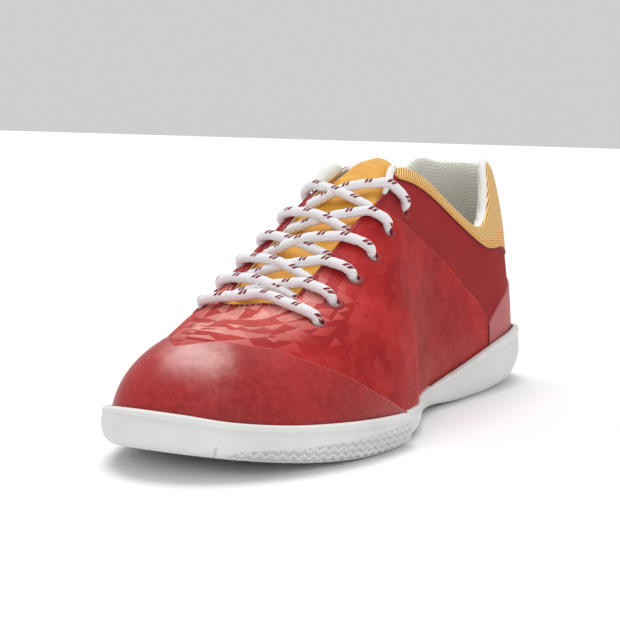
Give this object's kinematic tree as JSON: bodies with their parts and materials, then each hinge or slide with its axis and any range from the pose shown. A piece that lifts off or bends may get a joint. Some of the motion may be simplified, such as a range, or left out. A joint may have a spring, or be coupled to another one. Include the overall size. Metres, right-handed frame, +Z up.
{
  "type": "indoor court shoe",
  "caption": "Low laced indoor court shoe for the left foot: hollow upper with padded collar and tongue on a cupped rubber sole.",
  "frame": {"origin": "on the floor under the middle of the shoe's bounding box", "axes": "+Z up, -Y towards the toe, +Y towards the heel, +X towards the outer (lateral) side of this left shoe"},
  "size_m": [0.1026, 0.2938, 0.1101],
  "materials": {
    "sole_rubber": "satin",
    "upper_fabric": "fine coated weave with a faint facet pattern",
    "overlay_film": "smooth satin film",
    "collar_fabric": "ribbed weave",
    "tongue_fabric": "satin weave",
    "lining_fabric": "knitted mesh",
    "lace_cord": "braided cord"
  },
  "bodies": {
    "root": {"outsole": "sole_rubber", "upper": "upper_fabric", "toe_panel": "overlay_film", "heel_patch": "overlay_film", "collar": "collar_fabric", "tongue": "tongue_fabric", "insole": "lining_fabric", "lace_bar": "lace_cord", "lace_crossing_1": "lace_cord", "lace_crossing_2": "lace_cord", "lace_crossing_3": "lace_cord", "lace_crossing_4": "lace_cord", "lace_crossing_5": "lace_cord"}
  },
  "joints": []
}
